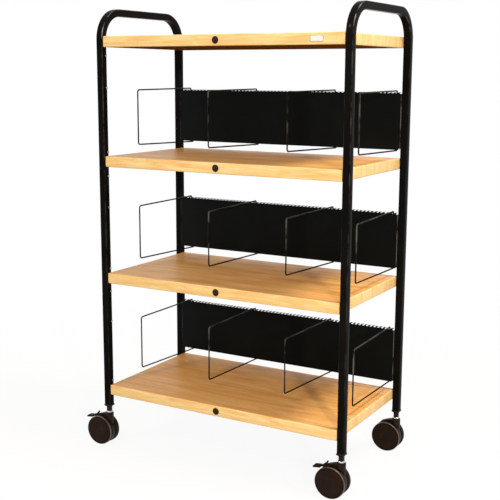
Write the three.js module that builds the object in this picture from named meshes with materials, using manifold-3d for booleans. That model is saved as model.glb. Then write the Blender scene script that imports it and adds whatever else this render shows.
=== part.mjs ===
import * as THREE from 'three';
import { mergeVertices } from 'three/addons/utils/BufferGeometryUtils.js';
import Module from 'manifold-3d';

// Millimetres. Z is up, Y runs from the open front to the back, X runs across the rack.

// Fits
const seatGap = 0.3;
const runningGap = 0.08;
const cutMargin = 1;

// Side frames, each one length of square tube bent to an upside-down U
const tubeSide = 24;
const tubeWall = 1.5;
const tubeCorner = 3;
const frameHeight = 1477;
const bendRadius = 89;
const postSpanAcross = 880.5;
const postSpanDeep = 446.6;
const postFootHeight = 145;

// Shelves
const shelfThickness = 35;
const shelfDepth = 461.6;
const shelfFrontInset = 1.2;
const shelfEdgeRadius = 3;
const bayCount = 3;
const bottomShelfTop = 217;
const topShelfBelowRail = 89.5;
const topBayLoss = 5.5;

// Round plug in the middle of each shelf's front edge
const plugDiameter = 23;
const plugCrownDiameter = 18;
const plugHeadHeight = 2.6;
const plugShankDiameter = 12;
const plugShankLength = 18;

// Back panels, shallow trays folded from sheet with slots punched in from the rear of the top flange
const sheetThickness = 1;
const panelHeight = 185;
const panelAboveShelf = 27;
const flangeDepth = 14;
const cornerReliefLength = 6;
const cornerReliefDrop = 4;
const slotPitch = 13.7;
const slotPlay = 1.4;
const slotEndMargin = 11;

// Wire dividers. Each hangs in a slot counted inwards from the panel's end, turned a few degrees in it.
const wireDiameter = 4;
const wireBend = 8;
const hookBend = 3.5;
const hookPlay = 0.8;
const dividerFrontSetback = 138;
const topLegRise = 5;
const topHookLength = 15;
const bottomHookLength = 14;
const bottomLegLift = 8;
const leftDividers = [{ slot: 2, turn: -1.5 }, { slot: 22, turn: -0.5 }];
const rightDividers = [{ slot: 16, turn: -2.9 }, { slot: 0, turn: 1 }];

// Caster sockets and stems
const socketSide = 27;
const socketCollarHeight = 7;
const socketPlugLength = 36;
const socketNeckDiameter = 19;
const socketNeckLength = 17;
const stemDiameter = 11;
const stemRingDiameter = 22;
const stemRingHeight = 6.5;
const stemInSocket = 46;
const stemInHood = 28;

// Twin-wheel casters
const wheelRadius = 50.8;
const wheelWidth = 18;
const wheelShoulder = 3.5;
const wheelTrail = 28;
const wheelFaceDish = 1.5;
const wheelSideGap = 1;
const wheelTreadGap = 1.8;
const axleDiameter = 10;
const axleInWheel = 12;
const hoodWebWidth = 14;
const hoodWidth = 22;
const hoodBossDiameter = 28.5;
const hoodWebInset = 3.5;
const hoodShoulderDrop = 4;

// Brake levers on the front casters
const pivotAngle = 60;
const pivotDiameter = 4;
const pivotEarRadius = 5.5;
const tongueWidth = 5;
const pedalReach = 38;
const pedalWidth = 22;
const pedalThickness = 10;
const pedalNeck = 7;
const pedalStart = 15;
const tailReach = 13;
const tailRise = 12;

// Facets
const bendSteps = 8;
const crestSteps = 6;
const shelfEdgeSteps = 2;
const wireBendSteps = 2;
const hookBendSteps = 2;
const wireSides = 8;
const roundSides = 12;
const wheelSides = 28;

// Heights and places that follow from the sizes above
const halfAcross = postSpanAcross / 2;
const halfDeep = postSpanDeep / 2;
const halfTube = tubeSide / 2;
const shelfWidth = postSpanAcross - tubeSide - 2 * seatGap;
const shelfFront = -halfDeep - halfTube + shelfFrontInset;
const topShelfTop = frameHeight - topShelfBelowRail;
const shelfPitch = (topShelfTop + topBayLoss - bottomShelfTop) / bayCount;
const bayFloors = Array.from({ length: bayCount }, (unused, bay) => bottomShelfTop + bay * shelfPitch);
const shelfTops = [...bayFloors, topShelfTop];
const panelFront = halfDeep - halfTube;
const panelLength = shelfWidth;
const panelBack = panelFront + flangeDepth;
const slotWidth = wireDiameter + 2 * slotPlay;
const slotsEachSide = Math.floor((panelLength / 2 - slotEndMargin - slotWidth / 2) / slotPitch);
const dividers = [
  ...leftDividers.map(({ slot, turn }) => ({ slot: slot - slotsEachSide, turn })),
  ...rightDividers.map(({ slot, turn }) => ({ slot: slotsEachSide - slot, turn })),
];
const wireRadius = wireDiameter / 2;
const topHookPlace = panelFront + sheetThickness + hookPlay + wireRadius;
const axleHeight = wheelRadius * Math.cos(Math.PI / wheelSides);
const collarFoot = postFootHeight - socketCollarHeight;
const neckFoot = collarFoot - socketNeckLength;
const ringFoot = neckFoot - stemRingHeight;
const hoodTop = ringFoot - seatGap;
const pivotArm = wheelRadius + wheelTreadGap;
const pivotX = -wheelTrail - pivotArm * Math.cos(THREE.MathUtils.degToRad(pivotAngle));
const pivotZ = axleHeight + pivotArm * Math.sin(THREE.MathUtils.degToRad(pivotAngle));

const tubePaint = new THREE.MeshStandardMaterial({ color: 0x1a1a1b, roughness: 0.25, metalness: 0.2 });
const sheetPaint = new THREE.MeshStandardMaterial({ color: 0x161717, roughness: 0.45, metalness: 0.2 });
const wirePaint = new THREE.MeshStandardMaterial({ color: 0x1e1d1c, roughness: 0.4, metalness: 0.3 });
const oakLaminate = new THREE.MeshStandardMaterial({ color: 0xe6bd80, roughness: 0.5, metalness: 0 });
const plugPlastic = new THREE.MeshStandardMaterial({ color: 0x2a1d16, roughness: 0.5, metalness: 0 });
const socketPlastic = new THREE.MeshStandardMaterial({ color: 0x1b1817, roughness: 0.55, metalness: 0 });
const hoodNylon = new THREE.MeshStandardMaterial({ color: 0x241c18, roughness: 0.5, metalness: 0 });
const wheelNylon = new THREE.MeshStandardMaterial({ color: 0x2b221d, roughness: 0.55, metalness: 0 });
const zincPlate = new THREE.MeshStandardMaterial({ color: 0xd4d2cd, roughness: 0.3, metalness: 0.9 });

const wasm = await Module();
wasm.setup();

function toSolid(geometry) {
  const bare = geometry.clone();
  bare.deleteAttribute('normal');
  bare.deleteAttribute('uv');
  const welded = mergeVertices(bare);
  return new wasm.Manifold(new wasm.Mesh({
    numProp: 3,
    vertProperties: new Float32Array(welded.attributes.position.array),
    triVerts: new Uint32Array(welded.index.array),
  }));
}

function toGeometry(solid) {
  const result = solid.getMesh();
  const geometry = new THREE.BufferGeometry();
  geometry.setAttribute('position', new THREE.BufferAttribute(result.vertProperties, 3));
  geometry.setIndex(new THREE.BufferAttribute(result.triVerts, 1));
  geometry.computeVertexNormals();
  return geometry;
}

function namedMesh(name, geometry, material) {
  const mesh = new THREE.Mesh(geometry, material);
  mesh.name = name;
  return mesh;
}

function namedGroup(name, parent) {
  const group = new THREE.Group();
  group.name = name;
  parent.add(group);
  return group;
}

function block(low, high) {
  const size = high.map((value, axis) => value - low[axis]);
  const middle = high.map((value, axis) => (value + low[axis]) / 2);
  return toSolid(new THREE.BoxGeometry(...size).translate(...middle));
}

// Round bar along Z between two heights
function bar(diameter, low, high, sides = roundSides) {
  const geometry = new THREE.CylinderGeometry(diameter / 2, diameter / 2, high - low, sides);
  return toSolid(geometry.rotateX(Math.PI / 2).translate(0, 0, (low + high) / 2));
}

// Round bar along Y, centred on Y = 0
function crossBar(diameter, length, x, z, sides = roundSides) {
  const geometry = new THREE.CylinderGeometry(diameter / 2, diameter / 2, length, sides);
  return toSolid(geometry.translate(x, 0, z));
}

// Outline given as [x, z] corners, extruded along Y and centred on Y = 0
function sidePlate(corners, width) {
  const outline = new THREE.Shape(corners.map(([x, z]) => new THREE.Vector2(x, z)));
  const geometry = new THREE.ExtrudeGeometry(outline, { depth: width, bevelEnabled: false });
  return toSolid(geometry.rotateX(Math.PI / 2).translate(0, width / 2, 0));
}

function roundedSquare(side, corner) {
  const half = side / 2;
  const inner = half - corner;
  const outline = new THREE.Shape();
  outline.absarc(inner, inner, corner, 0, Math.PI / 2);
  outline.absarc(-inner, inner, corner, Math.PI / 2, Math.PI);
  outline.absarc(-inner, -inner, corner, Math.PI, Math.PI * 1.5);
  outline.absarc(inner, -inner, corner, Math.PI * 1.5, Math.PI * 2);
  return outline;
}

// Straight lengths joined by circular bends, with a station at each end of a length and around each bend
class BentPath extends THREE.Curve {
  constructor(corners, bends) {
    super();
    const headings = corners.slice(1).map((corner, i) => corner.clone().sub(corners[i]).normalize());
    this.stations = [{ point: corners[0], heading: headings[0] }];
    for (let i = 1; i < corners.length - 1; i += 1) {
      this.addBend(corners[i], headings[i - 1], headings[i], bends[i - 1]);
    }
    this.stations.push({ point: corners.at(-1), heading: headings.at(-1) });
  }

  addBend(corner, before, after, { radius, steps }) {
    const turn = before.angleTo(after);
    const inward = after.clone().addScaledVector(before, -Math.cos(turn)).normalize();
    const start = corner.clone().addScaledVector(before, -radius * Math.tan(turn / 2));
    for (let step = 0; step <= steps; step += 1) {
      const angle = turn * step / steps;
      const point = start.clone().addScaledVector(before, radius * Math.sin(angle));
      point.addScaledVector(inward, radius * (1 - Math.cos(angle)));
      const heading = before.clone().multiplyScalar(Math.cos(angle));
      heading.addScaledVector(inward, Math.sin(angle));
      this.stations.push({ point, heading });
    }
  }

  get steps() {
    return this.stations.length - 1;
  }

  getPointAt(share, target = new THREE.Vector3()) {
    return target.copy(this.stations[Math.round(share * this.steps)].point);
  }

  getTangentAt(share, target = new THREE.Vector3()) {
    return target.copy(this.stations[Math.round(share * this.steps)].heading);
  }
}

function sweep(outline, path) {
  const geometry = new THREE.ExtrudeGeometry(outline, {
    steps: path.steps,
    extrudePath: path,
    curveSegments: 1,
  });
  return toSolid(geometry);
}

function buildSideFrame() {
  const railHeight = frameHeight - halfTube;
  const bend = { radius: bendRadius, steps: bendSteps };
  const path = new BentPath([
    new THREE.Vector3(0, -halfDeep, postFootHeight),
    new THREE.Vector3(0, -halfDeep, railHeight),
    new THREE.Vector3(0, halfDeep, railHeight),
    new THREE.Vector3(0, halfDeep, postFootHeight),
  ], [bend, bend]);
  const section = roundedSquare(tubeSide, tubeCorner);
  const bore = halfTube - tubeWall;
  section.holes.push(new THREE.Path([
    new THREE.Vector2(bore, bore),
    new THREE.Vector2(bore, -bore),
    new THREE.Vector2(-bore, -bore),
    new THREE.Vector2(-bore, bore),
  ]));
  return sweep(section, path);
}

function buildShelf() {
  const half = shelfWidth / 2 - shelfEdgeRadius;
  const front = shelfFront + shelfEdgeRadius;
  const back = shelfFront + shelfDepth - shelfEdgeRadius;
  const outline = new THREE.Shape([
    new THREE.Vector2(-half, front),
    new THREE.Vector2(half, front),
    new THREE.Vector2(half, back),
    new THREE.Vector2(-half, back),
  ]);
  const board = new THREE.ExtrudeGeometry(outline, {
    depth: shelfThickness - 2 * shelfEdgeRadius,
    bevelThickness: shelfEdgeRadius,
    bevelSize: shelfEdgeRadius,
    bevelSegments: shelfEdgeSteps,
  });
  board.translate(0, 0, shelfEdgeRadius - shelfThickness);
  const boreLength = plugShankLength + seatGap;
  const bore = crossBar(plugShankDiameter + 2 * seatGap, boreLength + cutMargin, 0, -shelfThickness / 2);
  return toSolid(board).subtract(bore.translate([0, shelfFront + (boreLength - cutMargin) / 2, 0]));
}

function buildPlug() {
  const head = plugDiameter / 2;
  const shank = plugShankDiameter / 2;
  const profile = [
    [0, -plugShankLength],
    [shank, -plugShankLength],
    [shank, seatGap],
    [head, seatGap],
    [head, plugHeadHeight / 2],
    [plugCrownDiameter / 2, plugHeadHeight],
    [0, plugHeadHeight],
  ];
  const turned = new THREE.LatheGeometry(profile.map(([r, h]) => new THREE.Vector2(r, h)), roundSides);
  return toSolid(turned.rotateX(Math.PI).translate(0, shelfFront, -shelfThickness / 2));
}

function buildPanel() {
  const half = panelLength / 2;
  const inside = half - sheetThickness;
  let tray = block([-half, panelFront, 0], [half, panelBack, panelHeight]);
  tray = tray.subtract(block(
    [-inside, panelFront + sheetThickness, sheetThickness],
    [inside, panelBack + cutMargin, panelHeight - sheetThickness],
  ));
  const reliefLength = cornerReliefLength + cutMargin;
  const reliefDrop = cornerReliefDrop + cutMargin;
  for (const left of [-half - cutMargin, half - cornerReliefLength]) {
    for (const foot of [-cutMargin, panelHeight - cornerReliefDrop]) {
      tray = tray.subtract(block(
        [left, panelFront - cutMargin, foot],
        [left + reliefLength, panelBack + cutMargin, foot + reliefDrop],
      ));
    }
  }
  for (let slot = -slotsEachSide; slot <= slotsEachSide; slot += 1) {
    const middle = slot * slotPitch;
    tray = tray.subtract(block(
      [middle - slotWidth / 2, panelFront + sheetThickness, panelHeight - sheetThickness - cutMargin],
      [middle + slotWidth / 2, panelBack + cutMargin, panelHeight + cutMargin],
    ));
  }
  return tray;
}

// The top leg runs over the panel and its end turns down through a slot.
// The bottom leg slopes down to the panel, runs under its lower flange and turns up behind that.
// The top hook stands on Y = 0.
function buildDivider() {
  const front = shelfFront + dividerFrontSetback - topHookPlace;
  const back = panelBack + hookPlay + wireRadius - topHookPlace;
  const topLeg = panelHeight + topLegRise;
  const bottomLeg = -hookPlay - wireRadius;
  const hook = { radius: hookBend, steps: hookBendSteps };
  const bend = { radius: wireBend, steps: wireBendSteps };
  const path = new BentPath([
    new THREE.Vector3(0, 0, topLeg - topHookLength),
    new THREE.Vector3(0, 0, topLeg),
    new THREE.Vector3(0, front, topLeg),
    new THREE.Vector3(0, front, bottomLeg + bottomLegLift),
    new THREE.Vector3(0, back, bottomLeg),
    new THREE.Vector3(0, back, bottomLeg + bottomHookLength),
  ], [hook, bend, bend, hook]);
  const section = new THREE.Shape(Array.from({ length: wireSides }, (unused, side) => {
    const angle = 2 * Math.PI * side / wireSides;
    return new THREE.Vector2(wireRadius * Math.cos(angle), wireRadius * Math.sin(angle));
  }));
  return sweep(section, path);
}

function buildSocket() {
  const plugHalf = halfTube - tubeWall - seatGap;
  const plugFoot = postFootHeight - seatGap;
  const plug = block([-plugHalf, -plugHalf, plugFoot], [plugHalf, plugHalf, plugFoot + socketPlugLength]);
  const collar = new THREE.ExtrudeGeometry(roundedSquare(socketSide, tubeCorner), {
    depth: socketCollarHeight - seatGap,
    bevelEnabled: false,
    curveSegments: 1,
  });
  const boreDiameter = stemDiameter + 2 * seatGap;
  return plug
    .add(toSolid(collar.translate(0, 0, collarFoot)))
    .add(bar(socketNeckDiameter, neckFoot + seatGap, collarFoot + cutMargin))
    .subtract(bar(boreDiameter, neckFoot - cutMargin, neckFoot + stemInSocket));
}

function buildStem() {
  const top = neckFoot + stemInSocket - seatGap;
  return bar(stemDiameter, hoodTop - stemInHood + seatGap, top)
    .add(bar(stemRingDiameter, ringFoot, neckFoot));
}

function wheelRoom() {
  const diameter = 2 * (wheelRadius + wheelTreadGap);
  const room = crossBar(diameter, wheelWidth * 2, -wheelTrail, axleHeight, 2 * roundSides);
  const offset = hoodWebWidth / 2 + wheelWidth;
  return room.translate([0, offset, 0]).add(room.translate([0, -offset, 0]));
}

function buildHood(braked) {
  const bossRadius = hoodBossDiameter / 2;
  const shoulder = hoodTop - hoodShoulderDrop;
  const crest = new THREE.QuadraticBezierCurve(
    new THREE.Vector2(-bossRadius, shoulder),
    new THREE.Vector2(-wheelTrail - pivotEarRadius, shoulder),
    new THREE.Vector2(pivotX + pivotEarRadius / 2, pivotZ + pivotEarRadius / 2),
  );
  const saddle = sidePlate([
    [bossRadius / 2, axleHeight],
    [bossRadius / 2, shoulder],
    ...crest.getPoints(crestSteps).map(({ x, y }) => [x, y]),
    [-wheelTrail, axleHeight],
  ], hoodWidth);
  const boss = bar(hoodBossDiameter, axleHeight + wheelRadius / 2, hoodTop);
  const webDiameter = 2 * (wheelRadius - hoodWebInset);
  const web = crossBar(webDiameter, hoodWebWidth, -wheelTrail, axleHeight, wheelSides);
  const stemRoom = (stemDiameter + 2 * runningGap) / Math.cos(Math.PI / roundSides);
  const stemBore = bar(stemRoom, hoodTop - stemInHood, hoodTop + cutMargin);
  const axleBore = crossBar(axleDiameter + 2 * seatGap, hoodWidth, -wheelTrail, axleHeight);
  let hood = saddle.add(boss).subtract(wheelRoom()).add(web);
  if (braked) {
    const ear = crossBar(2 * pivotEarRadius, hoodWebWidth, pivotX, pivotZ);
    const rib = sidePlate([
      [-wheelTrail, axleHeight],
      [pivotX + pivotEarRadius, pivotZ],
      [pivotX - pivotEarRadius, pivotZ],
    ], hoodWebWidth);
    const slotHalf = tongueWidth / 2 + seatGap;
    const slotFoot = pivotZ - pedalThickness - wheelTreadGap;
    const slot = block(
      [pivotX - 2 * pivotEarRadius, -slotHalf, slotFoot],
      [pivotX + tailReach + wheelTreadGap, slotHalf, hoodTop],
    );
    const pinBore = crossBar(pivotDiameter + 2 * runningGap, hoodWidth, pivotX, pivotZ);
    hood = hood.add(ear).add(rib).subtract(slot).subtract(pinBore);
  }
  return hood.subtract(stemBore).subtract(axleBore);
}

function buildAxle() {
  const length = hoodWebWidth + 2 * (wheelSideGap + axleInWheel - seatGap);
  return crossBar(axleDiameter, length, -wheelTrail, axleHeight);
}

// Solid disc with a blind bore on the inner side and a smooth, slightly dished outer face
function buildWheel(side) {
  const bore = axleDiameter / 2 + runningGap;
  const rim = wheelRadius - wheelShoulder;
  const profile = [
    [0, axleInWheel],
    [bore, axleInWheel],
    [bore, 0],
    [wheelRadius, 0],
    [wheelRadius, wheelWidth - wheelShoulder],
    [rim, wheelWidth],
    [rim - wheelShoulder, wheelWidth - wheelFaceDish],
    [0, wheelWidth - wheelFaceDish],
  ];
  const turned = new THREE.LatheGeometry(profile.map(([r, h]) => new THREE.Vector2(r, h)), wheelSides);
  turned.rotateY(Math.PI / wheelSides);
  if (side < 0) {
    turned.rotateX(Math.PI);
  }
  const inner = side * (hoodWebWidth / 2 + wheelSideGap);
  return toSolid(turned.translate(-wheelTrail, inner, axleHeight));
}

function buildLever() {
  const half = pedalThickness / 2;
  const pedalFoot = pivotZ - pedalThickness;
  const pedalTip = pivotX - pedalReach;
  const pedal = [
    [pivotX - pedalStart, pedalFoot],
    [pedalTip + half, pedalFoot - half / 2],
    [pedalTip, pedalFoot + half / 2],
    [pedalTip + half / 2, pedalFoot + half],
    [pedalTip + pedalThickness, pedalFoot + pedalNeck],
    [pivotX - pedalStart, pedalFoot + pedalNeck],
  ];
  const tongue = [
    [pivotX - pedalStart - half, pedalFoot],
    [pivotX, pivotZ - half],
    [pivotX + half, pivotZ],
    [pivotX + tailReach, pivotZ + tailRise - half / 2],
    [pivotX + tailReach - half / 2, pivotZ + tailRise],
    [pivotX, pivotZ + half],
    [pivotX - pedalStart - half, pedalFoot + pedalNeck],
  ];
  const pin = crossBar(pivotDiameter, hoodWebWidth - 2 * seatGap, pivotX, pivotZ);
  return sidePlate(pedal, pedalWidth).add(sidePlate(tongue, tongueWidth)).add(pin);
}

const rack = new THREE.Group();
rack.name = 'medical_chart_rack';

const frameGroup = namedGroup('side_frames', rack);
const sideFrame = toGeometry(buildSideFrame());
for (const [side, place] of [['left', -halfAcross], ['right', halfAcross]]) {
  const frame = namedMesh(`side_frame_${side}`, sideFrame, tubePaint);
  frame.position.x = place;
  frameGroup.add(frame);
}

const shelfGroup = namedGroup('shelves', rack);
const shelf = toGeometry(buildShelf());
const plug = toGeometry(buildPlug());
shelfTops.forEach((top, level) => {
  const tier = namedGroup(`tier_${level + 1}`, shelfGroup);
  tier.position.z = top;
  tier.add(namedMesh(`shelf_${level + 1}`, shelf, oakLaminate));
  tier.add(namedMesh(`edge_plug_${level + 1}`, plug, plugPlastic));
});

const bayGroup = namedGroup('bays', rack);
const panel = toGeometry(buildPanel());
const divider = toGeometry(buildDivider());
bayFloors.forEach((floor, level) => {
  const bay = namedGroup(`bay_${level + 1}`, bayGroup);
  bay.position.z = floor + panelAboveShelf;
  bay.add(namedMesh(`back_panel_${level + 1}`, panel, sheetPaint));
  dividers.forEach(({ slot, turn }, order) => {
    const wire = namedMesh(`divider_${level + 1}_${order + 1}`, divider, wirePaint);
    wire.position.set(slot * slotPitch, topHookPlace, 0);
    wire.rotation.z = THREE.MathUtils.degToRad(turn);
    bay.add(wire);
  });
});

const casterGroup = namedGroup('casters', rack);
const socket = toGeometry(buildSocket());
const stem = toGeometry(buildStem());
const axle = toGeometry(buildAxle());
const wheels = { fore: toGeometry(buildWheel(-1)), aft: toGeometry(buildWheel(1)) };
const lever = toGeometry(buildLever());
for (const [end, deep] of [['front', -halfDeep], ['rear', halfDeep]]) {
  const braked = end === 'front';
  const hood = toGeometry(buildHood(braked));
  for (const [side, across] of [['left', -halfAcross], ['right', halfAcross]]) {
    const corner = `${end}_${side}`;
    const caster = namedGroup(`caster_${corner}`, casterGroup);
    caster.position.set(across, deep, 0);
    caster.add(namedMesh(`socket_${corner}`, socket, socketPlastic));
    caster.add(namedMesh(`stem_${corner}`, stem, zincPlate));
    const swivel = namedGroup(`swivel_${corner}`, caster);
    swivel.add(namedMesh(`hood_${corner}`, hood, hoodNylon));
    swivel.add(namedMesh(`axle_${corner}`, axle, zincPlate));
    for (const [place, wheel] of Object.entries(wheels)) {
      swivel.add(namedMesh(`wheel_${corner}_${place}`, wheel, wheelNylon));
    }
    if (braked) {
      swivel.add(namedMesh(`brake_lever_${corner}`, lever, hoodNylon));
    }
  }
}

// The casters trail to one side, so the whole rack is moved to stand centred on its own outline
const bounds = new THREE.Box3().setFromObject(rack);
rack.position.x = -(bounds.min.x + bounds.max.x) / 2;

export default rack;
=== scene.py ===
import math
import bmesh
import bpy
from mathutils import Matrix, Vector


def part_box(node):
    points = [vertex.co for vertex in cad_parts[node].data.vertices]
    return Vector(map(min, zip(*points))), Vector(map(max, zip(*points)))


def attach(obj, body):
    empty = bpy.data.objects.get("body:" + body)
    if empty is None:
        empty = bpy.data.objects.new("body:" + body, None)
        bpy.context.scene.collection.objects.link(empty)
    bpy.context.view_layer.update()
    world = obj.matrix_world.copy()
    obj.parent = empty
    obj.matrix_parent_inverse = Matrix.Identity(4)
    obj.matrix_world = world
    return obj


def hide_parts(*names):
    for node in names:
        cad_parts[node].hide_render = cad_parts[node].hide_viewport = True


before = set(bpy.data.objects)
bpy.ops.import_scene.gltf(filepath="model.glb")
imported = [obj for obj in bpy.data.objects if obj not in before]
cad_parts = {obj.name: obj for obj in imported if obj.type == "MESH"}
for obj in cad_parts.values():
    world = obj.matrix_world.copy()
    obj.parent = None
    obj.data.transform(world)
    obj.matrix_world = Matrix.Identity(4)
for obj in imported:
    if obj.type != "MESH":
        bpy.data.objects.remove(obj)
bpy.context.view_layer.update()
mm = 0.001  # sizes below are in millimetres, the scene is in metres
quarterTurn = math.pi / 2
corners = ("front_left", "front_right", "rear_left", "rear_right")


def linear(hexColour):
    channels = [int(hexColour[i:i + 2], 16) / 255 for i in (1, 3, 5)]
    return [c / 12.92 if c <= 0.04045 else ((c + 0.055) / 1.055) ** 2.4 for c in channels] + [1.0]


def addNode(tree, kind, settings=None, links=None):
    # a setting is a property of the node, or else the value of an input by name or number;
    # by number, Mix has its share at 0 and colours at 6 and 7, MapRange takes 0 from 1..2 to 3..4
    node = tree.nodes.new("ShaderNode" + kind)
    for key, value in (settings or {}).items():
        if key == "stops":
            ramp = node.color_ramp.elements
            for number, (place, colour) in enumerate(value):
                stop = ramp[number] if number < len(ramp) else ramp.new(place)
                stop.position = place
                stop.color = colour
        elif isinstance(key, str) and hasattr(node, key):
            setattr(node, key, value)
        else:
            node.inputs[key].default_value = value
    for key, source in (links or {}).items():
        tree.links.new(source, node.inputs[key])
    return node


def newFinish(name, fixed):
    material = bpy.data.materials.new(name)
    material.use_nodes = True
    tree = material.node_tree
    shader = tree.nodes["Principled BSDF"]
    for key, value in fixed.items():
        shader.inputs[key].default_value = value
    return material, tree, shader


def perMetre(sizeMm):
    return 1 / (sizeMm * mm)  # noise scale that gives features of this size


def grey(level):
    return (level, level, level, 1.0)


noiseLow, noiseHigh = 0.3, 0.7  # nearly all of a noise texture lies between these
bumpShare = 0.25  # bumps of a skin stand a quarter as high as they are wide
resinIor = 1.5  # paint and melamine


def joinFinish(tree, shader, glossRange, colour, cloud, bump=None):
    # the gloss drifts with the clouds of the given noise
    low, high = glossRange
    gloss = addNode(tree, "MapRange", {1: noiseLow, 2: noiseHigh, 3: low, 4: high}, {0: cloud})
    tree.links.new(colour, shader.inputs["Base Color"])
    tree.links.new(gloss.outputs[0], shader.inputs["Roughness"])
    if bump:
        tree.links.new(bump.outputs[0], shader.inputs["Normal"])


# Black paint on steel: a smooth dark film with a fine skin texture, a thin dusty bloom and a pale painted highlight
# laid in speckles along marked corners and folds
def paintOnSteel(look):
    material, tree, shader = newFinish(look["name"], {"IOR": resinIor, "Specular IOR Level": look["specular"]})
    place = addNode(tree, "TexCoord").outputs["Object"]
    skin = addNode(tree, "TexNoise", {"Scale": perMetre(look["skinMm"]), "Detail": 2.0}, {"Vector": place})
    bloom = addNode(tree, "TexNoise", {"Scale": perMetre(look["bloomMm"]), "Detail": 5.0}, {"Vector": place})
    film = addNode(tree, "ValToRGB", {"stops": [(0.4, linear(look["film"])), (0.75, linear(look["dust"]))]},
                   {"Fac": bloom.outputs[0]})
    # a pale painted highlight is laid along the marked corners and folds, broken into speckles by this noise
    patch = addNode(tree, "TexNoise", {"Scale": perMetre(look["patchMm"]), "Detail": 4.0}, {"Vector": place})
    highlightSpeckle = addNode(tree, "ValToRGB", {"stops": [(0.42, grey(0)), (0.62, grey(1))]}, {"Fac": patch.outputs[0]})
    edge = addNode(tree, "Attribute", {"attribute_name": "paintedHighlight"})
    paintedHighlight = addNode(tree, "Math", {"operation": "MULTIPLY"}, {0: edge.outputs["Fac"], 1: highlightSpeckle.outputs["Color"]})
    colour = addNode(tree, "Mix", {"data_type": "RGBA", 7: linear(look["highlightColour"])},
                     {0: paintedHighlight.outputs[0], 6: film.outputs["Color"]})
    bump = addNode(tree, "Bump", {"Strength": look["skinDepth"], "Distance": look["skinMm"] * mm * bumpShare},
                   {"Height": skin.outputs[0]})
    joinFinish(tree, shader, look["gloss"], colour.outputs[2], bloom.outputs[0], bump)
    return material


# Stoved gloss enamel sprayed on drawn tube: deep black with soft orange peel, and a painted highlight along its
# corners
tubeEnamel = paintOnSteel({
    "name": "stovedGlossEnamelOnTube", "film": "#0E0D0C", "dust": "#151311", "highlightColour": "#8C8A87",
    "specular": 0.015, "gloss": (0.1, 0.18), "skinMm": 3.0, "skinDepth": 0.05, "bloomMm": 140, "patchMm": 42})
# Powder coat baked on folded sheet: satin, with a pebbled skin and a painted highlight along its folds
sheetPowder = paintOnSteel({
    "name": "bakedPowderCoatOnSheet", "film": "#080B0A", "dust": "#0F1211", "highlightColour": "#625F5C",
    "specular": 0.06, "gloss": (0.42, 0.55), "skinMm": 1.6, "skinDepth": 0.2, "bloomMm": 160, "patchMm": 60})
# Powder coat baked on drawn wire: satin, with a pale painted highlight down the front leg
wirePowder = paintOnSteel({
    "name": "bakedPowderCoatOnWire", "film": "#0A0604", "dust": "#110A06", "highlightColour": "#55534F",
    "specular": 0.05, "gloss": (0.3, 0.4), "skinMm": 1.2, "skinDepth": 0.1, "bloomMm": 60, "patchMm": 60})

poreMm = 0.1  # how deep a pore is pressed
poreFrom, poreFull = 0.58, 0.72  # only the crests of the noise become pores


# Oak-print melamine: long flame figure, fine streaks and short pores along the grain under a satin film
def oakPrint(look):
    material, tree, shader = newFinish(look["name"], {"IOR": resinIor, "Specular IOR Level": look["specular"]})
    grain = addNode(tree, "UVMap", {"uv_map": "grain"}).outputs[0]  # metres, along the grain first
    figure = {}
    for part, (longMm, crossMm, detail, warp) in look["figure"].items():
        run = addNode(tree, "Mapping", {"Scale": (perMetre(longMm), perMetre(crossMm), 1.0)}, {"Vector": grain})
        figure[part] = addNode(tree, "TexNoise", {"Scale": 1.0, "Detail": detail, "Distortion": warp},
                               {"Vector": run.outputs[0]}).outputs[0]
    dark, middle, pale = (linear(look[shade]) for shade in ("dark", "middle", "pale"))
    flame = addNode(tree, "ValToRGB", {"stops": [(0.3, dark), (0.5, middle), (0.7, pale)]},
                    {"Fac": figure["flame"]})
    streakTone = addNode(tree, "MapRange", {1: noiseLow, 2: noiseHigh, 3: look["streak"], 4: 1.0},
                         {0: figure["streak"]})
    streaked = addNode(tree, "Mix", {"data_type": "RGBA", "blend_type": "MULTIPLY", 0: 1.0},
                       {6: flame.outputs["Color"], 7: streakTone.outputs[0]})
    poreMask = addNode(tree, "MapRange", {1: poreFrom, 2: poreFull, 3: 0.0, 4: look["poreShare"]},
                       {0: figure["pore"]})
    pored = addNode(tree, "Mix", {"data_type": "RGBA", 7: linear(look["pore"])},
                    {0: poreMask.outputs[0], 6: streaked.outputs[2]})
    seam = addNode(tree, "Attribute", {"attribute_name": "seam"})
    jointed = addNode(tree, "Mix", {"data_type": "RGBA", 7: linear(look["seam"])},
                      {0: seam.outputs["Fac"], 6: pored.outputs[2]})
    bump = addNode(tree, "Bump", {"Strength": look["poreDepth"], "Distance": poreMm * mm, "invert": True},
                   {"Height": poreMask.outputs[0]})
    joinFinish(tree, shader, look["gloss"], jointed.outputs[2], figure["streak"], bump)
    return material


# Figure sizes are length and width in mm, then detail and warp
boardFigure = {"flame": (300, 42, 4.0, 1.4), "streak": (150, 4.2, 3.0, 0.3), "pore": (16, 1.1, 1.0, 0.0)}
bandFigure = {"flame": (120, 12, 4.0, 0.9), "streak": (80, 3.0, 3.0, 0.3), "pore": (14, 0.9, 1.0, 0.0)}
# Laminate hot-pressed on the board: warm honey oak with broad flames and a soft sheen; its deeper, more saturated
# orange is partly painted warm shade
shelfOak = oakPrint({
    "name": "pressedOakLaminate", "dark": "#DD9A4C", "middle": "#EDAE5F", "pale": "#F7C278", "pore": "#A8723C",
    "seam": "#8A5F34", "specular": 0.24, "gloss": (0.34, 0.46), "streak": 0.91, "poreShare": 0.5,
    "poreDepth": 0.25, "figure": boardFigure})
# Edge band extruded in one strip: paler oak, tighter in the grain and a touch glossier; the paler yellow is partly
# painted light for the brightly lit edges
edgeOak = oakPrint({
    "name": "extrudedOakEdgeBand", "dark": "#EFBA74", "middle": "#F4CD88", "pale": "#F9DFA4", "pore": "#D29C58",
    "seam": "#8A5F34", "specular": 0.3, "gloss": (0.3, 0.4), "streak": 0.92, "poreShare": 0.4,
    "poreDepth": 0.15, "figure": bandFigure})
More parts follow.
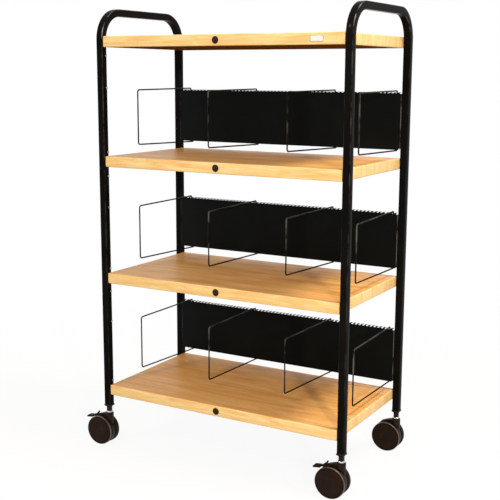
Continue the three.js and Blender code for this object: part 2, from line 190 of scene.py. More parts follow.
# Brown balancing sheet pressed on the underside: resin-bonded kraft, dead matt with a faint grain; its dark brown is
# partly painted shade for the shaded underside
paintedShadeUnderside = oakPrint({
    "name": "pressedKraftBalancerWithPaintedShade", "dark": "#6E4519", "middle": "#7C5022", "pale": "#8A5C2C", "pore": "#5A3814",
    "seam": "#5A3814", "specular": 0.0, "gloss": (0.7, 0.85), "streak": 0.92, "poreShare": 0.3,
    "poreDepth": 0.1, "figure": boardFigure})


# Black moulded plastic: even brown-black with a fine spark-eroded skin, paler where it is scuffed
def mouldedPlastic(look):
    material, tree, shader = newFinish(look["name"], {"IOR": look["ior"], "Specular IOR Level": look["specular"]})
    place = addNode(tree, "TexCoord").outputs["Object"]
    skin = addNode(tree, "TexNoise", {"Scale": perMetre(look["skinMm"]), "Detail": 3.0}, {"Vector": place})
    scuff = addNode(tree, "TexNoise", {"Scale": perMetre(look["scuffMm"]), "Detail": 6.0}, {"Vector": place})
    colour = addNode(tree, "ValToRGB", {"stops": [(0.38, linear(look["body"])), (0.72, linear(look["scuffed"]))]},
                     {"Fac": scuff.outputs[0]})
    bump = addNode(tree, "Bump", {"Strength": look["skinDepth"], "Distance": look["skinMm"] * mm * bumpShare},
                   {"Height": skin.outputs[0]})
    joinFinish(tree, shader, look["gloss"], colour.outputs["Color"], scuff.outputs[0], bump)
    return material


# Polythene moulded in small caps: brown, waxy and softly domed in its shine
plugPolythene = mouldedPlastic({
    "name": "mouldedBrownPolythene", "body": "#28160D", "scuffed": "#38241A", "ior": 1.51, "specular": 0.1,
    "gloss": (0.36, 0.46), "skinMm": 0.9, "skinDepth": 0.15, "scuffMm": 12})
# Nylon moulded for the sockets: near black with a dull satin face
socketNylon = mouldedPlastic({
    "name": "mouldedBlackNylonSocket", "body": "#120E0C", "scuffed": "#1C1714", "ior": 1.53, "specular": 0.14,
    "gloss": (0.34, 0.46), "skinMm": 1.0, "skinDepth": 0.15, "scuffMm": 18})
# Nylon moulded for hoods and levers: brown-black, with a faint sheen along its eased edges
hoodNylon = mouldedPlastic({
    "name": "mouldedBlackNylonHood", "body": "#1A120C", "scuffed": "#261B13", "ior": 1.53, "specular": 0.1,
    "gloss": (0.3, 0.44), "skinMm": 1.2, "skinDepth": 0.2, "scuffMm": 24})
# Nylon moulded for the wheels: brown-black and matt, so that the flat discs stay even
wheelNylon = mouldedPlastic({
    "name": "mouldedBlackNylonWheel", "body": "#1D140D", "scuffed": "#281C13", "ior": 1.53, "specular": 0.06,
    "gloss": (0.42, 0.55), "skinMm": 1.2, "skinDepth": 0.2, "scuffMm": 26})
# Polyurethane cast round the wheel: dark, dense and dull
treadRubber = mouldedPlastic({
    "name": "castPolyurethaneTread", "body": "#17110D", "scuffed": "#241B15", "ior": 1.5, "specular": 0.08,
    "gloss": (0.4, 0.5), "skinMm": 1.6, "skinDepth": 0.1, "scuffMm": 14})
# Polyurethane on the tread's shoulder: coloured pale grey as a painted highlight and a touch glossier, so that it
# shows as a pale ring
shoulderHighlight = mouldedPlastic({
    "name": "polyurethaneShoulderPaintedHighlight", "body": "#5E4F45", "scuffed": "#43372F", "ior": 1.5, "specular": 0.35,
    "gloss": (0.26, 0.38), "skinMm": 1.6, "skinDepth": 0.1, "scuffMm": 14})
# Vinyl sheet cut blank: white, smooth and slightly glossy
plateVinyl = mouldedPlastic({
    "name": "blankWhiteVinylPlate", "body": "#EFEAE6", "scuffed": "#E4DED8", "ior": 1.52, "specular": 0.4,
    "gloss": (0.26, 0.36), "skinMm": 2.0, "skinDepth": 0.05, "scuffMm": 20})
# Vinyl in grey round its border: a thin line that sets the white plate off from the oak
plateRim = mouldedPlastic({
    "name": "greyVinylRim", "body": "#A39B92", "scuffed": "#948C84", "ior": 1.52, "specular": 0.3,
    "gloss": (0.3, 0.4), "skinMm": 2.0, "skinDepth": 0.05, "scuffMm": 20})

# Bright zinc electroplate on turned steel: a pale mirror, softly streaked and clouded
zincLook = {"bright": "#E2E0DA", "clouded": "#B9B5AC", "gloss": (0.2, 0.34), "cloudMm": 6}
zincPlate, zincTree, zincShader = newFinish("brightZincElectroplate", {"Metallic": 1.0})
zincPlace = addNode(zincTree, "TexCoord").outputs["Object"]
zincCloud = addNode(zincTree, "TexNoise", {"Scale": perMetre(zincLook["cloudMm"]), "Detail": 4.0},
                    {"Vector": zincPlace})
zincColour = addNode(zincTree, "ValToRGB", {"stops": [(0.35, linear(zincLook["bright"])),
                                                      (0.75, linear(zincLook["clouded"]))]},
                     {"Fac": zincCloud.outputs[0]})
joinFinish(zincTree, zincShader, zincLook["gloss"], zincColour.outputs["Color"], zincCloud.outputs[0])
print("finishes mixed:", len(bpy.data.materials))


def boxOf(node):
    low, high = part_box(node)
    return low / mm, high / mm


def makeMesh(name, shape):
    mesh = bpy.data.meshes.new(name)
    mesh.from_pydata([Vector(p) * mm for p in shape["points"]], [], shape["faces"])
    if not shape.get("keepFacing"):
        shell = bmesh.new()
        shell.from_mesh(mesh)
        bmesh.ops.recalc_face_normals(shell, faces=shell.faces)
        shell.to_mesh(mesh)
        shell.free()
    for mark, values in shape.get("marks", {}).items():
        mesh.attributes.new(mark, "FLOAT", "POINT").data.foreach_set("value", values)
    if "grain" in shape:
        layer = mesh.uv_layers.new(name="grain")
        layer.data.foreach_set("uv", [value * mm for face in shape["grain"] for pair in face for value in pair])
    if "finishOf" in shape:
        mesh.polygons.foreach_set("material_index", shape["finishOf"])
    return mesh


def addPiece(name, mesh, finishes, body, replaced=(), sharpAngle=38):
    for finish in finishes:
        mesh.materials.append(finish)
    mesh.polygons.foreach_set("use_smooth", [True] * len(mesh.polygons))
    mesh.set_sharp_from_angle(angle=math.radians(sharpAngle))
    piece = bpy.data.objects.new(name, mesh)
    bpy.context.scene.collection.objects.link(piece)
    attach(piece, body)
    if replaced:
        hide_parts(*replaced)
    return piece


def looseObject(name, shape):
    thing = bpy.data.objects.new(name, makeMesh(name, shape))
    bpy.context.scene.collection.objects.link(thing)
    return thing


def settledMesh(name, thing):
    # the mesh as its modifiers leave it
    bpy.context.view_layer.update()
    mesh = bpy.data.meshes.new_from_object(thing.evaluated_get(bpy.context.evaluated_depsgraph_get()))
    mesh.name = name
    return mesh


def discard(thing):
    mesh = thing.data
    bpy.data.objects.remove(thing)
    bpy.data.meshes.remove(mesh)


def bentPath(turns, radii, steps):
    # straight runs joined by round bends, as (point, heading) pairs
    heads = [(b - a).normalized() for a, b in zip(turns, turns[1:])]
    stations = [(turns[0], heads[0])]
    for turn, before, after, radius in zip(turns[1:-1], heads, heads[1:], radii):
        sweepAngle = before.angle(after)
        inward = (after - before * math.cos(sweepAngle)).normalized()
        start = turn - before * radius * math.tan(sweepAngle / 2)
        for step in range(steps + 1):
            angle = sweepAngle * step / steps
            point = start + before * radius * math.sin(angle) + inward * radius * (1 - math.cos(angle))
            stations.append((point, before * math.cos(angle) + inward * math.sin(angle)))
    stations.append((turns[-1], heads[-1]))
    return stations


def sweepLoops(section, stations):
    # the section's first measure runs along X, its second across the path
    across = Vector((1, 0, 0))
    return [[point + across * a + heading.cross(across) * b for a, b in section] for point, heading in stations]


def skinLoops(loops, capStart=False, capEnd=False, ringed=False):
    count = len(loops[0])
    points = [p for loop in loops for p in loop]
    pairs = list(zip(range(len(loops)), range(1, len(loops))))
    if ringed:
        pairs.append((len(loops) - 1, 0))
    faces = [(a * count + i, b * count + i, b * count + (i + 1) % count, a * count + (i + 1) % count)
             for a, b in pairs for i in range(count)]
    if capStart:
        faces.append(tuple(range(count)))
    if capEnd:
        faces.append(tuple(reversed(range(len(points) - count, len(points)))))
    return {"points": points, "faces": faces}


def roundedBox(halfWide, halfHigh, radius, steps):
    # anticlockwise from the right-hand side of the lower edge
    section = []
    for quarter, (wide, high) in enumerate(((1, -1), (1, 1), (-1, 1), (-1, -1))):
        for step in range(steps + 1):
            angle = (quarter - 1 + step / steps) * quarterTurn
            section.append((wide * (halfWide - radius) + radius * math.cos(angle),
                            high * (halfHigh - radius) + radius * math.sin(angle)))
    return section


def circle(radius, sides):
    return [(radius * math.cos(2 * math.pi * i / sides), radius * math.sin(2 * math.pi * i / sides))
            for i in range(sides)]


def turnProfile(profile, sides, frameMatrix):
    # profile is (radius, height) pairs; points on the axis close it
    points, faces, rows = [], [], []
    for radius, height in profile:
        first = len(points)
        ring = [(0.0, 0.0)] if radius == 0 else circle(radius, sides)
        points += [frameMatrix @ Vector((x, y, height)) for x, y in ring]
        rows.append(range(first, len(points)))
    for a, b in zip(rows, rows[1:]):
        for i in range(sides):
            j = (i + 1) % sides
            corner = [a[i % len(a)], b[i % len(b)], b[j % len(b)], a[j % len(a)]]
            face = [v for n, v in enumerate(corner) if v not in corner[:n]]
            if len(face) > 2:
                faces.append(face)
    return {"points": points, "faces": faces}


# Side frames: one square tube bent into a tall hoop, open at its feet
# the levels set how strong a painted highlight runs along the outer corners: at the foot, at the start, middle and
# end of a bend
tubeFrame = {"side": 24, "wall": 1.5, "corner": 3, "cornerSteps": 4, "bend": 89, "bendSteps": 30,
             "highlightLevels": (0.05, 0.2, 2.0, 0.25), "innerShare": 0.3}
for side in ("left", "right"):
    node = "side_frame_" + side
    low, high = boxOf(node)
    half = tubeFrame["side"] / 2
    middle = (low.x + high.x) / 2
    route = [Vector((middle, y, z)) for y, z in (
        (low.y + half, low.z), (low.y + half, high.z - half), (high.y - half, high.z - half),
        (high.y - half, low.z))]
    path = bentPath(route, [tubeFrame["bend"]] * 2, tubeFrame["bendSteps"])
    cornerRadius, cornerSteps = tubeFrame["corner"], tubeFrame["cornerSteps"]
    outerSection = roundedBox(half, half, cornerRadius, cornerSteps)
    bore = half - tubeFrame["wall"]
    innerSection = roundedBox(bore, bore, cornerRadius - tubeFrame["wall"], cornerSteps)
    outer = sweepLoops(outerSection, path)
    inner = sweepLoops(innerSection, path)
    tube = skinLoops(outer + inner[::-1], ringed=True)
    # the painted highlight peaks across the middle of each rounded corner
    cornerHighlight = [math.sin(math.pi * step / cornerSteps) for step in range(cornerSteps + 1)]
    foot, start, peak, end = tubeFrame["highlightLevels"]
    # along the tube the painted highlight is faint down the posts and strongest in the middle of each bend
    halfBend = tubeFrame["bendSteps"] // 2
    rise = [start + (peak - start) * step / halfBend for step in range(halfBend)]
    fall = [peak + (end - peak) * step / halfBend for step in range(halfBend + 1)]
    highlightLevels = [foot] + rise + fall
    # the outer corners take the full painted highlight, the inner ones only a share
    quarters = (1.0, tubeFrame["innerShare"], tubeFrame["innerShare"], 1.0)
    paintedHighlight = [level * share * mark for level in highlightLevels + highlightLevels[::-1] for share in quarters for mark in cornerHighlight]
    tube["marks"] = {"paintedHighlight": paintedHighlight + [0.0] * len(outerSection) * len(inner)}
    addPiece("frame_tube_" + side, makeMesh("frame_tube_" + side, tube), [tubeEnamel], "rack", [node])
print("side frames bent")

# Shelves: laminated board with a crowned oak edge band let in all round
shelfBoard = {"edgeRadius": 3.0, "edgeSteps": 5, "crown": 0.5, "crownSteps": 6, "planRadius": 6.0, "planSteps": 4,
              "bandLip": 3.9, "seamHalf": 0.45, "seamDepth": 0.6, "grainShift": (1370, 610)}


def shelfLoop(low, high, inset, z):
    radius = shelfBoard["planRadius"] - inset
    loop = []
    for quarter, (x, y) in enumerate(((high.x, low.y), (high.x, high.y), (low.x, high.y), (low.x, low.y))):
        cx = x - shelfBoard["planRadius"] if x == high.x else x + shelfBoard["planRadius"]
        cy = y - shelfBoard["planRadius"] if y == high.y else y + shelfBoard["planRadius"]
        for step in range(shelfBoard["planSteps"] + 1):
            angle = (quarter - 1 + step / shelfBoard["planSteps"]) * quarterTurn
            loop.append(Vector((cx + radius * math.cos(angle), cy + radius * math.sin(angle), z)))
    return loop


def shelfShape(low, high, number):
    thick = high.z - low.z
    lip, seamHalf = shelfBoard["bandLip"], shelfBoard["seamHalf"]
    profile = [(lip + 2 * seamHalf, 0.0, 0.0), (lip + seamHalf, shelfBoard["seamDepth"], 1.0), (lip, 0.0, 0.0)]
    radius = shelfBoard["edgeRadius"]
    for step in range(shelfBoard["edgeSteps"] + 1):
        angle = step / shelfBoard["edgeSteps"] * quarterTurn
        profile.append((radius * (1 - math.sin(angle)), radius * (1 - math.cos(angle)), 0.0))
    for step in range(1, shelfBoard["crownSteps"]):
        profile.append((0.0, radius + (thick / 2 - radius) * step / shelfBoard["crownSteps"], 0.0))
    profile += [(0.0, thick / 2, 0.0)] + [(inset, thick - drop, mark) for inset, drop, mark in reversed(profile)]
    loops = []
    for inset, drop, mark in profile:
        crown = shelfBoard["crown"] * (2 * drop / thick - 1) ** 2
        loops.append(shelfLoop(low, high, inset + (crown if inset < lip else 0.0), high.z - drop))
    shape = skinLoops(loops, capStart=True, capEnd=True)
    count = len(loops[0])
    shape["keepFacing"] = True
    shape["marks"] = {"seam": [mark for _, _, mark in profile for _ in range(count)]}
    # grain runs along the board on its faces and long edges, and stands upright on the ends
    outline = loops[len(loops) // 2]
    along, onEnd = [0.0], []
    for a, b in zip(outline, outline[1:] + outline[:1]):
        along.append(along[-1] + (b - a).length)
        onEnd.append(abs(b.y - a.y) > abs(b.x - a.x))
    up = [0.0]
    for (insetA, dropA, _), (insetB, dropB, _) in zip(profile, profile[1:]):
        up.append(up[-1] + math.hypot(insetB - insetA, dropB - dropA))
    shiftU, shiftV = (number * step for step in shelfBoard["grainShift"])
    rows = []
    for a in range(len(loops) - 1):
        for i in range(count):
            patch = [(along[i], up[a]), (along[i], up[a + 1]), (along[i + 1], up[a + 1]), (along[i + 1], up[a])]
            if onEnd[i]:
                patch = [(v, u) for u, v in patch]
            rows.append([(u + shiftU, v + shiftV) for u, v in patch])
    top = [(p.x + shiftU, p.y + shiftV) for p in loops[0]]
    under = [(p.x - shiftU, p.y - shiftV) for p in reversed(loops[-1])]
    shape["grain"] = rows + [top, under]
    # the underside takes the dark brown sheet, partly painted shade
    shape["finishOf"] = [1] * len(rows) + [0, 2]
    return shape


for number in (1, 2, 3, 4):
    node = "shelf_%d" % number
    low, high = boxOf(node)
    mesh = makeMesh("shelf_board_%d" % number, shelfShape(low, high, number))
    addPiece("shelf_board_%d" % number, mesh, [shelfOak, edgeOak, paintedShadeUnderside], "rack", [node])
print("shelves laminated")

# Edge plugs: domed caps pressed into the middle of each front edge
edgePlug = {"sides": 48, "seat": -0.3,
            "dome": [(0, 2.6), (4, 2.52), (7, 2.3), (9, 1.9), (10.4, 1.3), (11.2, 0.7), (11.5, 0.1), (11.5, -0.3)]}
for number in (1, 2, 3, 4):
    node = "edge_plug_%d" % number
    low, high = boxOf(node)
    boardFront = boxOf("shelf_%d" % number)[0].y
    stand = Matrix.Translation(((low.x + high.x) / 2, boardFront, (low.z + high.z) / 2)) @ Matrix.Rotation(
        quarterTurn, 4, "X")
    shape = turnProfile(edgePlug["dome"] + [(0, edgePlug["seat"])], edgePlug["sides"], stand)
    addPiece("plug_cap_%d" % number, makeMesh("plug_cap_%d" % number, shape), [plugPolythene], "rack",
             [node])

# Blank name plate on the front edge of the top shelf
namePlate = {"x": 374.8, "halfWide": 21.5, "halfHigh": 9.6, "corner": 5.5, "thick": 0.8, "sunk": 0.2, "edge": 0.35,
             "ease": 0.3, "border": 1.6, "steps": 8}
plateThick, plateEdge = namePlate["thick"], namePlate["edge"]
plateEase = plateEdge * namePlate["ease"]
plateLow, plateHigh = boxOf("shelf_4")
plateMiddle = Vector((namePlate["x"], plateLow.y, (plateLow.z + plateHigh.z) / 2))
plateLoops = []
for proud, inset in ((-namePlate["sunk"], 0.0), (plateThick - plateEdge, 0.0), (plateThick - plateEase, plateEase),
                     (plateThick, plateEdge), (plateThick, namePlate["border"])):
    outline = roundedBox(namePlate["halfWide"] - inset, namePlate["halfHigh"] - inset, namePlate["corner"] - inset,
                         namePlate["steps"])
    plateLoops.append([plateMiddle + Vector((x, -proud, z)) for x, z in outline])
plateShape = skinLoops(plateLoops, capStart=True, capEnd=True)
plateShape["finishOf"] = [1] * (len(plateShape["faces"]) - 1) + [0]
addPiece("name_plate", makeMesh("name_plate", plateShape), [plateVinyl, plateRim], "rack")

# Zinc rivet heads on the inner faces of the front posts, three to a bay
postRivet = {"heights": (13, 222, 326), "setBack": 8.0, "sides": 24,
             "dome": [(0, 1.3), (2, 1.2), (3.4, 0.8), (4.2, 0.25), (4.3, -0.2), (0, -0.2)]}
for side, facing in (("left", 1), ("right", -1)):
    low, high = boxOf("side_frame_" + side)
    innerFace = high.x if facing > 0 else low.x
    for bay in (1, 2, 3):
        floorTop = boxOf("shelf_%d" % bay)[1].z
        for number, height in enumerate(postRivet["heights"]):
            stand = Matrix.Translation((innerFace, low.y + tubeFrame["side"] / 2 + postRivet["setBack"],
                                        floorTop + height)) @ Matrix.Rotation(facing * quarterTurn, 4, "Y")
            name = "post_rivet_%s_%d_%d" % (side, bay, number + 1)
            addPiece(name, makeMesh(name, turnProfile(postRivet["dome"], postRivet["sides"], stand)), [zincPlate],
                     "rack")
print("plugs, plate and rivets set")

# Back panels: folded trays with slots punched through the top flange and its fold, like a comb
# the levels set how strong a painted highlight runs on the top fold, then on the end folds
backPanel = {"sheet": 1.0, "fold": 2.0, "foldSteps": 4, "pitch": 13.7, "slots": 61, "slotWidth": 6.8,
             "slotDrop": 2.4, "reliefLong": 6, "reliefDrop": 4, "highlightLevels": (0.3, 1.4)}


def panelShape(low, high):
    fold, steps = backPanel["fold"], backPanel["foldSteps"]
    arc = [(fold * (1 - math.sin(a)), fold * (1 - math.cos(a)))
           for a in (quarterTurn * step / steps for step in range(steps + 1))]
    rows = [(high.y, low.z)] + [(low.y + a, low.z + b) for a, b in arc]
    reliefFoot = len(rows)
    rows += [(low.y, low.z + backPanel["reliefDrop"]), (low.y, high.z - backPanel["reliefDrop"])]
    reliefTop = len(rows) - 1
    slotFront = len(rows)
    rows.append((low.y, high.z - backPanel["slotDrop"]))
    rows += [(low.y + b, high.z - a) for a, b in arc]
    rows.append((high.y, high.z))
    # columns: returned end flange, end fold, plain end, then the comb
    leftEnd = [(low.x, high.y)] + [(low.x + b, low.y + a) for a, b in arc]
    columns = [(x, y, "end") for x, y in leftEnd] + [(low.x + backPanel["reliefLong"], low.y, "land")]
    centre = (low.x + high.x) / 2
    for slot in range(backPanel["slots"]):
        x = centre + (slot - (backPanel["slots"] - 1) / 2) * backPanel["pitch"]
        columns += [(x - backPanel["slotWidth"] / 2, low.y, "slot"), (x + backPanel["slotWidth"] / 2, low.y, "land")]
    columns.append((high.x - backPanel["reliefLong"], low.y, "end"))
    columns += [(low.x + high.x - x, y, "end") for x, y in reversed(leftEnd)]
    points, faces, used = [], [], {}

    def pointAt(c, r):
        if (c, r) not in used:
            x, y, _ = columns[c]
            rowY, z = rows[r]
            used[c, r] = len(points)
            points.append(Vector((x, y if y > low.y else rowY, z)))
        return used[c, r]

    for c in range(len(columns) - 1):
        kind = columns[c][2]
        for r in range(len(rows) - 1):
            plainEnd = kind == "end" and not reliefFoot <= r < reliefTop
            openSlot = kind == "slot" and slotFront <= r
            if not plainEnd and not openSlot:
                faces.append((pointAt(c, r), pointAt(c + 1, r), pointAt(c + 1, r + 1), pointAt(c, r + 1)))
    onTop, onEnd = backPanel["highlightLevels"]
    # a painted highlight on the top fold and, stronger, on the end folds
    foldHighlight = []
    for p in points:
        atFold = p.y < low.y + fold
        topHighlight = onTop if abs(p.z - high.z) < fold and atFold else 0.0
        endHighlight = onEnd if min(p.x - low.x, high.x - p.x) < fold and atFold else 0.0
        foldHighlight.append(max(topHighlight, endHighlight))
    return {"points": points, "faces": faces, "keepFacing": True, "marks": {"paintedHighlight": foldHighlight}}


for number in (1, 2, 3):
    node = "back_panel_%d" % number
    blank = looseObject("blank", panelShape(*boxOf(node)))
    sheet = blank.modifiers.new("sheet", "SOLIDIFY")
    sheet.thickness = backPanel["sheet"] * mm
    sheet.offset = -1  # the drawn face is the outer one
    mesh = settledMesh("panel_tray_%d" % number, blank)
    discard(blank)
    addPiece("panel_tray_%d" % number, mesh, [sheetPowder], "rack", [node])
print("back panels folded")

# Dividers: wire loops whose top leg turns down through a slot and whose bottom leg hooks up behind the panel
# slots count from the middle of the panel; the painted highlight levels are for the front leg, then for the top leg
dividerWire = {"radius": 2.4, "sides": 14, "bendSteps": 8, "slots": (-28, -8, 14, 30),
               "turns": (-1.5, -0.5, -2.9, 1.0), "play": 0.4, "setBack": 138, "topRise": 5, "topDip": 2.5,
               "topHook": 15, "footLift": 8, "footHook": 14, "hookBend": 3.5, "frontBend": 8, "capSteps": 3,
               "capFlat": 0.5, "highlightLevels": (1.6, 0.4)}
for bay in (1, 2, 3):
    low, high = boxOf("back_panel_%d" % bay)
    radius = dividerWire["radius"]
    margin = dividerWire["play"] + radius
    hookAt = low.y + backPanel["sheet"] + margin
    front = boxOf("shelf_%d" % bay)[0].y + dividerWire["setBack"] - hookAt
    back, foot, top = high.y + margin - hookAt, low.z - margin, high.z + dividerWire["topRise"]
    route = [Vector((0, y, z)) for y, z in (
        (0, top - dividerWire["topHook"]), (0, top), (front, top - dividerWire["topDip"]),
        (front, foot + dividerWire["footLift"]), (back, foot), (back, foot + dividerWire["footHook"]))]
    hook, nose = dividerWire["hookBend"], dividerWire["frontBend"]
    path = bentPath(route, [hook, nose, nose, hook], dividerWire["bendSteps"])
    for number, (slot, turn) in enumerate(zip(dividerWire["slots"], dividerWire["turns"]), 1):
        node = "divider_%d_%d" % (bay, number)
        stand = Matrix.Translation(((low.x + high.x) / 2 + slot * backPanel["pitch"], hookAt, 0)) @ Matrix.Rotation(
            math.radians(turn), 4, "Z")
        loops = sweepLoops(circle(radius, dividerWire["sides"]), path)
        # cut ends are eased round
        for end, (point, heading) in ((0, path[0]), (-1, path[-1])):
            outwards = -heading if end == 0 else heading
            caps = []
            for step in range(1, dividerWire["capSteps"] + 1):
                angle = step / (dividerWire["capSteps"] + dividerWire["capFlat"]) * quarterTurn
                centreAt = point - outwards * radius * (1 - math.sin(angle))
                caps.append([centreAt + (p - point) * math.cos(angle) for p in loops[end]])
            shoulder = [p - outwards * radius for p in loops[end]]
            if end == 0:
                loops = caps[::-1] + [shoulder] + loops[1:]
            else:
                loops = loops[:-1] + [shoulder] + caps
        shape = skinLoops([[stand @ p for p in loop] for loop in loops], capStart=True, capEnd=True)
        # a painted highlight, strongest on the front leg and fading towards its foot
        onFront, onTop = dividerWire["highlightLevels"]
        settle = stand.inverted()
        shape["marks"] = {"paintedHighlight": [(onFront if (settle @ p).y < front + nose / 2 else onTop)
                                  * max(0.0, p.z - foot) / (top - foot) for p in shape["points"]]}
        addPiece("divider_wire_%d_%d" % (bay, number), makeMesh(node + "_wire", shape), [wirePowder], "rack",
                 [node])
print("dividers bent")

# Caster sockets: square collar under the post running down to a round neck
casterSocket = {"collarHalf": 13.5, "collarCorner": 3.5, "collarTop": 144.9, "collarEase": 1.0, "collarFoot": 140.2,
                "taperFoot": 135.5, "taperSquare": 0.9, "taperProud": 2.5, "taperShare": 0.6, "neck": 9.5,
                "neckProud": 0.4, "neckRun": 2, "neckEase": 0.8, "neckFoot": 121.3, "bore": 5.9, "boreTop": 127,
                "steps": 7}
# Stem: turned pin with a bright collar ring between socket and hood
casterStem = {"sides": 56, "profile": [
    (0, 126), (5.5, 126), (5.5, 121.1), (9.6, 121.1), (10.5, 120.7), (11, 119.8), (11, 115.8), (10.5, 114.9),
    (9.6, 114.5), (5.5, 114.5), (5.5, 101), (0, 101)]}
axisOf = {}
for corner in corners:
    low, high = boxOf("stem_" + corner)
    axis = Vector(((low.x + high.x) / 2, (low.y + high.y) / 2, 0))
    axisOf[corner] = axis
    look = casterSocket
    collar, top, foot, taper = look["collarHalf"], look["collarTop"], look["collarFoot"], look["taperFoot"]
    neck, end = look["neck"], look["neckFoot"]
    square = roundedBox(collar, collar, look["collarCorner"], look["steps"])
    rings = []
    # height, scale of the square, radius of the round, and how far the ring has turned from square to round
    for z, squareScale, roundRadius, share in (
            (top, 1 - look["collarEase"] / collar, 0, 0),
            (top - look["collarEase"], 1, 0, 0),
            (foot, 1, 0, 0),
            ((foot + taper) / 2, look["taperSquare"], neck + look["taperProud"], look["taperShare"]),
            (taper, 0, neck + look["neckProud"], 1),
            (taper - look["neckRun"], 0, neck, 1),
            (end + look["neckEase"], 0, neck, 1),
            (end, 0, neck - look["neckEase"], 1),
            (end, 0, look["bore"], 1),
            (look["boreTop"], 0, look["bore"], 1)):
        ring = []
        for px, py in square:
            angle = math.atan2(py, px)
            flat = Vector((px * squareScale, py * squareScale))
            turned = Vector((math.cos(angle), math.sin(angle))) * roundRadius
            spot = flat.lerp(turned, share)
            ring.append(axis + Vector((spot.x, spot.y, z)))
        rings.append(ring)
    socket = skinLoops(rings, capStart=True, capEnd=True)
    addPiece("socket_collar_" + corner, makeMesh("socket_collar_" + corner, socket), [socketNylon], "rack",
             ["socket_" + corner])
    stem = turnProfile(casterStem["profile"], casterStem["sides"], Matrix.Translation(axis))
    addPiece("stem_ring_" + corner, makeMesh("stem_ring_" + corner, stem), [zincPlate], "rack",
             ["stem_" + corner])
print("sockets and stems fitted")


def plate(outline, low, high):
    # outline in X and Z, thickness across Y
    loops = [[Vector((x, y, z)) for x, z in outline] for y in (low, high)]
    return skinLoops(loops, capStart=True, capEnd=True)


def barAcross(x, z, radius, low, high, sides):
    return plate([(x + a, z + b) for a, b in circle(radius, sides)], low, high)


def barUp(radius, low, high, sides):
    loops = [[Vector((a, b, z)) for a, b in circle(radius, sides)] for z in (low, high)]
    return skinLoops(loops, capStart=True, capEnd=True)


def mouldMesh(name, parts, look):
    # each part is a solid and the solids cut from it; all run together into one moulding with eased edges
    joined = bmesh.new()
    for solid, cuts in parts:
        made = [looseObject("solid", solid)]
        for cut in cuts:
            made.append(looseObject("cut", cut))
            trim = made[0].modifiers.new("trim", "BOOLEAN")
            trim.operation = "DIFFERENCE"
            trim.solver = "EXACT"
            trim.object = made[-1]
        trimmed = settledMesh("trimmed", made[0])
        joined.from_mesh(trimmed)
        bpy.data.meshes.remove(trimmed)
        for thing in made:
            discard(thing)
    rough = bpy.data.meshes.new("rough")
    joined.to_mesh(rough)
    joined.free()
    blank = bpy.data.objects.new("blank", rough)
    bpy.context.scene.collection.objects.link(blank)
    melt = blank.modifiers.new("melt", "REMESH")
    melt.mode = "VOXEL"
    melt.voxel_size = look["voxel"] * mm
    ease = blank.modifiers.new("ease", "SMOOTH")
    ease.factor = look["ease"]
    ease.iterations = look["easing"]
    thin = blank.modifiers.new("thin", "DECIMATE")
    thin.ratio = look["keep"]
    mesh = settledMesh(name, blank)
    discard(blank)
    return mesh


# Hoods: a boss round the stem with a fender arching over the twin wheels; the front pair carry lever lugs
casterHood = {"voxel": 0.8, "easing": 6, "ease": 0.5, "keep": 0.22, "sharp": 60, "sides": 64, "top": 114.2,
              "bossRadius": 14.25, "bossFoot": 75.7, "shoulder": 110.2, "fenderHalf": 9.2, "webHalf": 7,
              "webRadius": 47.3, "trail": 28, "wheelRoom": 52.6, "bore": 6.0, "boreFoot": 99.5, "crestPull": 25,
              "crestSteps": 10, "pivot": (-54.3, 96.03), "ear": 5.5, "tipHalf": 7.2, "tipReach": 64,
              "slotHalf": 2.9, "slotFoot": 84.2, "slotReach": (-11, 14.8), "cutPast": 5}
axleLow, axleHigh = boxOf("axle_front_left")
axleHeight = (axleLow.z + axleHigh.z) / 2
pivotX, pivotZ = casterHood["pivot"]


def hoodParts(braked):
    look = casterHood
    trail, room, sides = -look["trail"], look["wheelRoom"], look["sides"]
    start = Vector((-look["bossRadius"], look["shoulder"]))
    pull = Vector((-look["crestPull"], look["shoulder"]))
    tip = Vector((pivotX + look["ear"] / 2, pivotZ + look["ear"] / 2))
    crest = []
    for step in range(look["crestSteps"] + 1):
        t = step / look["crestSteps"]
        spot = start * (1 - t) ** 2 + pull * 2 * t * (1 - t) + tip * t ** 2
        crest.append((spot.x, spot.y))
    saddleOutline = [(look["bossRadius"] / 2, axleHeight), (look["bossRadius"] / 2, look["shoulder"])]
    saddleOutline += crest + [(trail, axleHeight)]
    half, web = look["fenderHalf"], look["webHalf"]
    wide, above = look["bossRadius"] + look["cutPast"], look["top"] + look["cutPast"]
    rooms = [barAcross(trail, axleHeight, room, web, wide, 2 * sides),
             barAcross(trail, axleHeight, room, -wide, -web, 2 * sides)]
    bore = barUp(look["bore"], look["boreFoot"], above, sides)
    # the fender narrows in plan from the boss to its tip
    tapers = []
    for facing in (1, -1):
        wedge = [(-look["bossRadius"], facing * half), (-look["tipReach"], facing * look["tipHalf"]),
                 (-look["tipReach"], facing * wide), (-look["bossRadius"], facing * wide)]
        wedgeLoops = [[Vector((x, y, z)) for x, y in wedge] for z in (0, 2 * look["top"])]
        tapers.append(skinLoops(wedgeLoops, capStart=True, capEnd=True))
    slotLeft, slotRight = (pivotX + reach for reach in look["slotReach"])
    slot = plate([(slotLeft, look["slotFoot"]), (slotRight, look["slotFoot"]), (slotRight, above), (slotLeft, above)],
                 -look["slotHalf"], look["slotHalf"])
    slots = [slot] if braked else []
    parts = [(plate(saddleOutline, -half, half), rooms + [bore] + slots + tapers),
             (barUp(look["bossRadius"], look["bossFoot"], look["top"], sides), rooms + [bore]),
             (barAcross(trail, axleHeight, look["webRadius"], -web, web, 2 * sides), slots)]
    if braked:
        rib = [(trail, axleHeight), (pivotX + look["ear"], pivotZ), (pivotX - look["ear"], pivotZ)]
        parts.append((plate(rib, -web, web), slots))
        parts.append((barAcross(pivotX, pivotZ, look["ear"], -web, web, sides), slots))
    return parts


